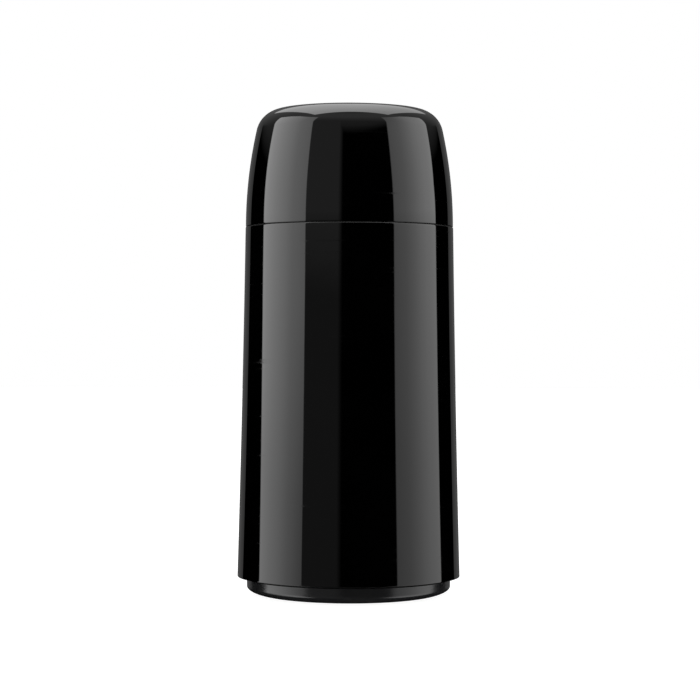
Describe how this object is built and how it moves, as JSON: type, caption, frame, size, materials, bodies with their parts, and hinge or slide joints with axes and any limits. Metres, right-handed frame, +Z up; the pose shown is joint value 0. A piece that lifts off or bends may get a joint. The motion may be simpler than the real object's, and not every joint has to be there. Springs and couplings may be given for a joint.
{
  "type": "vacuum flask",
  "caption": "Table vacuum flask with a domed screw-on cup lid, a screw stopper, a glass refill in a flared plastic shell, and a screw-on base.",
  "frame": {"origin": "centre of the circular standing face, at the bottom", "axes": "+Z up along the flask's axis, from the standing face to the crown of the cup lid"},
  "size_m": [0.1126, 0.1126, 0.248],
  "materials": {
    "gloss_black": "high gloss",
    "satin_black": "satin",
    "satin_charcoal": "satin",
    "white_plastic": "satin",
    "clear_silicone": "matt",
    "black_rubber": "matt",
    "silvered_glass": "silvered",
    "grey_foam": "foam",
    "white_foam": "foam",
    "fibre_pad": "felt"
  },
  "bodies": {
    "flask": {"outer_shell": "gloss_black", "neck_collar": "satin_charcoal", "collar_seal": "clear_silicone", "mouth_gasket": "clear_silicone", "neck_cushion": "grey_foam", "glass_outer_bottle": "silvered_glass", "glass_inner_bottle": "silvered_glass", "spacer_pads": "fibre_pad", "tip_cap": "black_rubber", "side_cushion": "grey_foam", "refill_cushion": "clear_silicone", "refill_cradle": "satin_charcoal", "base_gasket": "black_rubber"},
    "base_cap": {"base_cap": "satin_black"},
    "stopper_seal": {"stopper_seal": "clear_silicone"},
    "stopper": {"stopper_body": "white_plastic", "stopper_foam": "white_foam", "stopper_cap": "satin_black"},
    "rim_seal": {"rim_seal": "black_rubber"},
    "cup_lid": {"cup_lid": "gloss_black"}
  },
  "joints": [
    {"name": "base_turn", "type": "hinge", "parent": "flask", "child": "base_cap", "pos_m": [0, 0, 0], "axis": [0, 0, -1], "range_deg": [0, 270]},
    {"name": "stopper_lift", "type": "slide", "parent": "flask", "child": "stopper_seal", "axis": [0, 0, 1], "range_m": [0, 0.06]},
    {"name": "stopper_turn", "type": "hinge", "parent": "stopper_seal", "child": "stopper", "pos_m": [0, 0, 0.2], "axis": [0, 0, 1], "range_deg": [0, 450]},
    {"name": "cup_lift", "type": "slide", "parent": "stopper_seal", "child": "rim_seal", "axis": [0, 0, 1], "range_m": [0, 0.07]},
    {"name": "cup_turn", "type": "hinge", "parent": "rim_seal", "child": "cup_lid", "pos_m": [0, 0, 0.1864], "axis": [0, 0, 1], "range_deg": [0, 270]}
  ]
}
